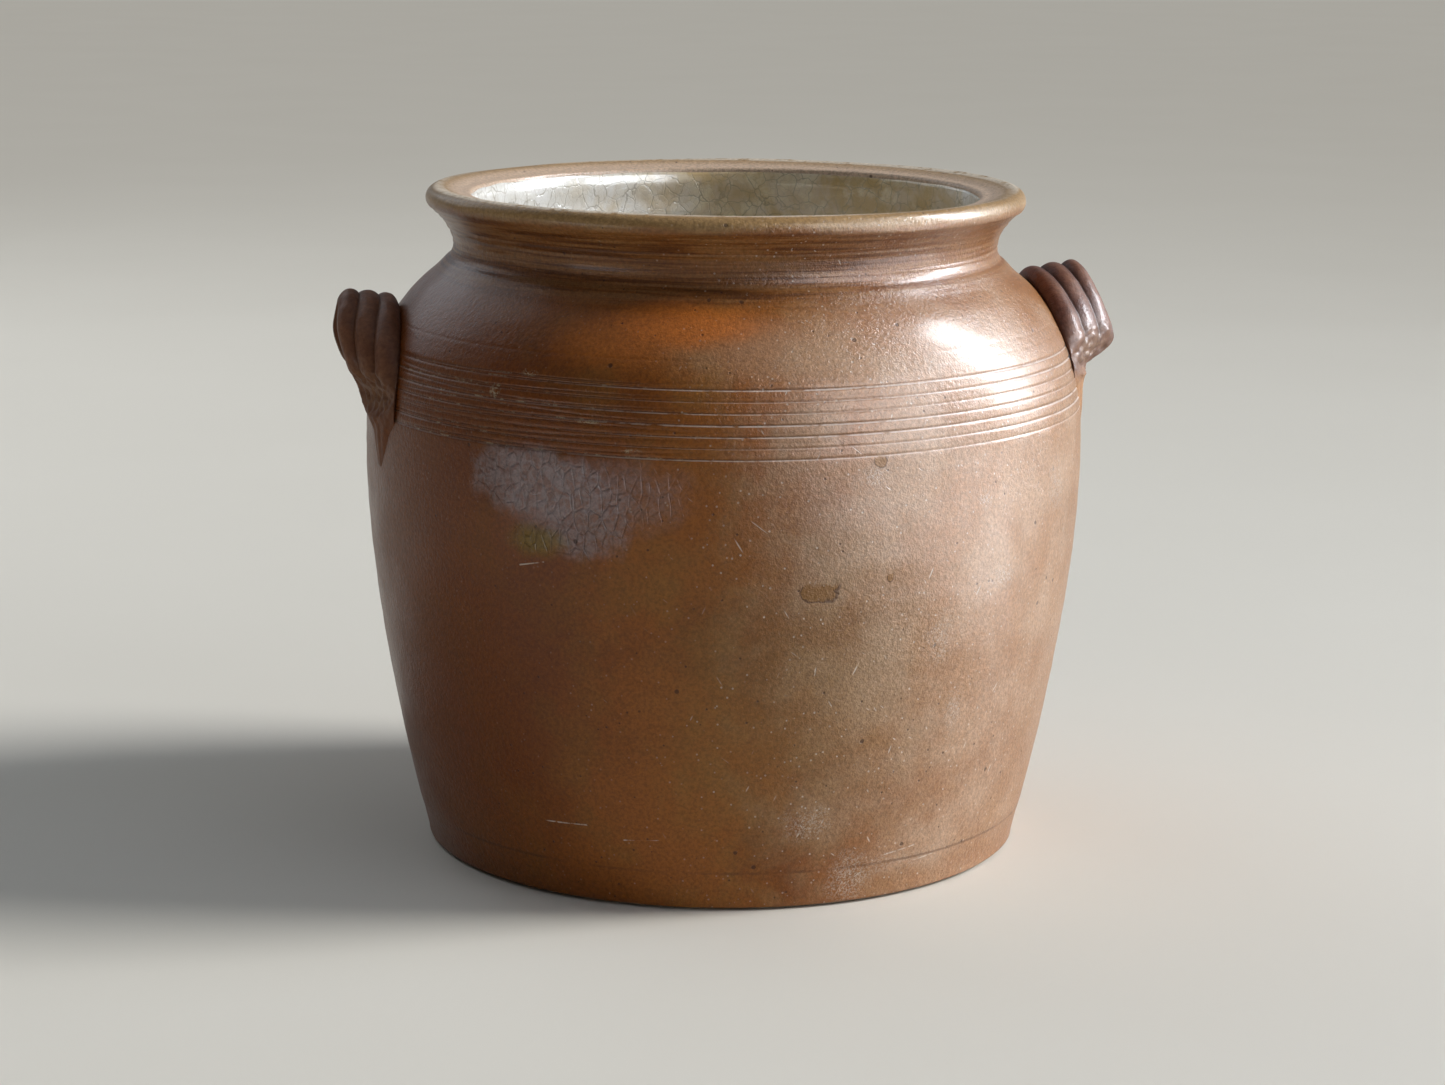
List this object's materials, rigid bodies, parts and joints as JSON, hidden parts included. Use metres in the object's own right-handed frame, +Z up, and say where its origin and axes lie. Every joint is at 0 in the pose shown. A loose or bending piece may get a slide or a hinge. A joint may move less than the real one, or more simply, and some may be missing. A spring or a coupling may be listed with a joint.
{
  "type": "stoneware butter crock",
  "caption": "Round-bellied stoneware crock with a rolled rim, scored shoulder band, pale glazed lining and ribbed ear handles.",
  "frame": {"origin": "centre of the foot, on the surface the crock stands on", "axes": "+Z up along the throwing axis; the two handles lie on +X and -X"},
  "size_m": [0.3471, 0.321, 0.2942],
  "materials": {
    "salt_glazed_stoneware": "orange-brown salt glaze with an orange-peel surface, satin to glossy, speckled with iron",
    "lining_glaze": "cream crackled glaze, stained olive brown on one side",
    "handle_stoneware": "chocolate-brown salt glaze, glossy on the ribs"
  },
  "bodies": {
    "root": {"crock_body": "salt_glazed_stoneware", "interior_glaze": "lining_glaze", "left_handle": "handle_stoneware", "right_handle": "handle_stoneware"}
  },
  "joints": []
}
